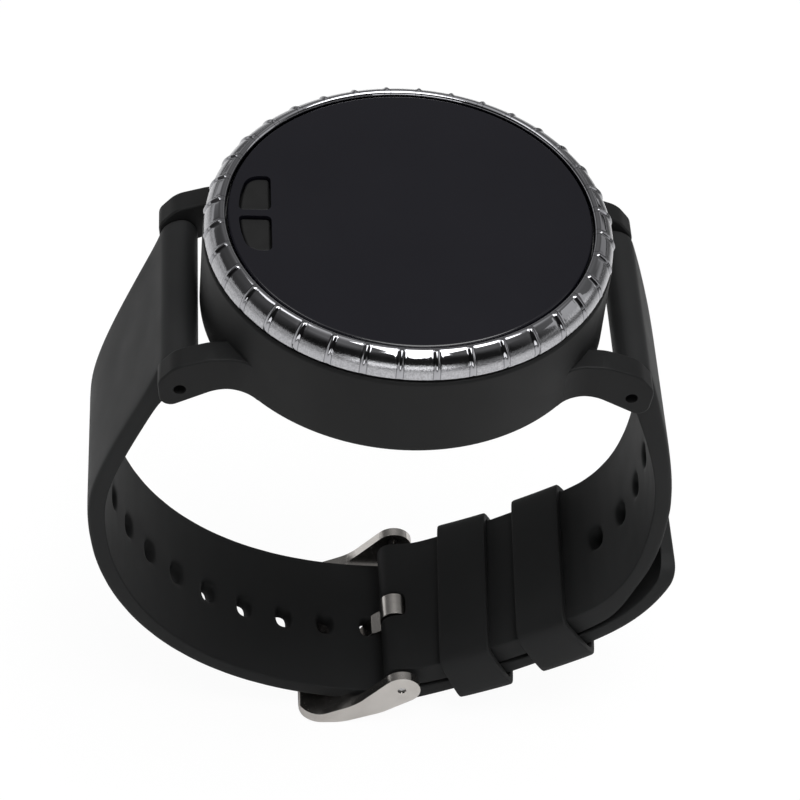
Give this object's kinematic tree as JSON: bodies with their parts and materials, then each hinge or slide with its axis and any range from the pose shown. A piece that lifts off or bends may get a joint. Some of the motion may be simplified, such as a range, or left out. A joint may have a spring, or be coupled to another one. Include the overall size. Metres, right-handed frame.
{
  "type": "wristwatch",
  "caption": "Wristwatch with a flat lens, a ribbed turning bezel, two buttons in the lens, a vibrating beat motor and a buckled silicone strap.",
  "frame": {"origin": "centre of the flat outer face of the case back, on the bezel's axis", "axes": "+Z along the bezel's axis, out through the lens; +X towards the lugs of the buckle half of the strap; +Y towards the twelve o'clock side, along the spring bars, with the buttons in the lens on the -X side"},
  "size_m": [0.0712, 0.0464, 0.0754],
  "materials": {
    "case": "fine matte, near black",
    "rubber_seal": "smooth",
    "steel": "machined",
    "contact_gold": "gold plated",
    "bezel_chrome": "dark polished",
    "magnet": "nickel plated",
    "lens": "smoked, glossy",
    "adhesive": "double-sided tape",
    "display": "glossy, dark when off",
    "button": "matte",
    "plunger": "smooth",
    "board": "solder mask",
    "chip": "moulded",
    "cell": "laminated pouch",
    "strap": "matte silicone",
    "buckle": "polished"
  },
  "bodies": {
    "case": {"case_body": "case", "case_back": "case", "back_seal": "rubber_seal", "back_screws": "steel", "board_screws": "steel", "click_spring": "steel", "long_bar": "steel", "short_bar": "steel", "buckle_bar": "steel", "long_bar_spring": "steel", "short_bar_spring": "steel", "buckle_bar_spring": "steel", "motor_base": "steel", "motor_cover": "steel", "motor_shaft": "steel", "chassis_plate": "steel", "switch_bodies": "steel", "charge_contacts": "contact_gold", "lens": "lens", "lens_adhesive": "adhesive", "battery_pad": "adhesive", "display_module": "display", "main_board": "board", "board_chips": "chip", "battery": "cell", "long_strap": "strap", "short_strap": "strap"},
    "bezel": {"rotary_bezel": "bezel_chrome", "bezel_magnets": "magnet", "bezel_snap_ring": "steel"},
    "click_ball": {"click_ball": "steel"},
    "upper_button": {"upper_button": "button", "upper_plunger": "plunger"},
    "lower_button": {"lower_button": "button", "lower_plunger": "plunger"},
    "motor_weight": {"eccentric_weight": "steel"},
    "keeper_1": {"keeper_1": "strap"},
    "keeper_2": {"keeper_2": "strap"},
    "buckle_frame": {"buckle_frame": "buckle"},
    "buckle_tang": {"buckle_tang": "buckle"},
    "long_tip_front": {"long_tip_front": "steel"},
    "long_tip_back": {"long_tip_back": "steel"},
    "short_tip_front": {"short_tip_front": "steel"},
    "short_tip_back": {"short_tip_back": "steel"},
    "buckle_tip_front": {"buckle_tip_front": "steel"},
    "buckle_tip_back": {"buckle_tip_back": "steel"}
  },
  "joints": [
    {"name": "bezel_spin", "type": "hinge", "parent": "case", "child": "bezel", "pos_m": [0, 0, 0.0135], "axis": [0, 0, 1], "continuous": true},
    {"name": "click_ball_press", "type": "slide", "parent": "case", "child": "click_ball", "axis": [0, 0, -1], "range_m": [0, 0.00012], "stiffness_N_per_m": 500, "deforming": ["click_spring"]},
    {"name": "upper_button_press", "type": "slide", "parent": "case", "child": "upper_button", "axis": [0, 0, -1], "range_m": [0, 0.0003], "stiffness_N_per_m": 2000},
    {"name": "lower_button_press", "type": "slide", "parent": "case", "child": "lower_button", "axis": [0, 0, -1], "range_m": [0, 0.0003], "stiffness_N_per_m": 2000},
    {"name": "motor_spin", "type": "hinge", "parent": "case", "child": "motor_weight", "pos_m": [-0.01055, 0, 0.005], "axis": [0, 0, 1], "continuous": true},
    {"name": "keeper_1_slide", "type": "hinge", "parent": "case", "child": "keeper_1", "pos_m": [-0.02894, 0, 0.03107], "axis": [0, -1, 0], "range_deg": [-1.9, 2]},
    {"name": "keeper_2_slide", "type": "hinge", "parent": "case", "child": "keeper_2", "pos_m": [-0.02894, 0, 0.03107], "axis": [0, -1, 0], "range_deg": [-2, 1.3]},
    {"name": "buckle_frame_turn", "type": "hinge", "parent": "case", "child": "buckle_frame", "pos_m": [0.00379, 0, -0.05287], "axis": [0, -1, 0], "range_deg": [0, 3.5]},
    {"name": "tang_turn", "type": "hinge", "parent": "buckle_frame", "child": "buckle_tang", "pos_m": [0.00379, 0, -0.05287], "axis": [0, -1, 0], "range_deg": [0, 2]},
    {"name": "long_tip_front_press", "type": "slide", "parent": "case", "child": "long_tip_front", "axis": [0, 1, 0], "range_m": [0, 0.0014], "stiffness_N_per_m": 800, "deforming": ["long_bar_spring"]},
    {"name": "long_tip_back_press", "type": "slide", "parent": "case", "child": "long_tip_back", "axis": [0, -1, 0], "range_m": [0, 0.0014], "stiffness_N_per_m": 800, "deforming": ["long_bar_spring"]},
    {"name": "short_tip_front_press", "type": "slide", "parent": "case", "child": "short_tip_front", "axis": [0, 1, 0], "range_m": [0, 0.0014], "stiffness_N_per_m": 800, "deforming": ["short_bar_spring"]},
    {"name": "short_tip_back_press", "type": "slide", "parent": "case", "child": "short_tip_back", "axis": [0, -1, 0], "range_m": [0, 0.0014], "stiffness_N_per_m": 800, "deforming": ["short_bar_spring"]},
    {"name": "buckle_tip_front_press", "type": "slide", "parent": "case", "child": "buckle_tip_front", "axis": [0, 1, 0], "range_m": [0, 0.0011], "stiffness_N_per_m": 800, "deforming": ["buckle_bar_spring"]},
    {"name": "buckle_tip_back_press", "type": "slide", "parent": "case", "child": "buckle_tip_back", "axis": [0, -1, 0], "range_m": [0, 0.0011], "stiffness_N_per_m": 800, "deforming": ["buckle_bar_spring"]}
  ]
}
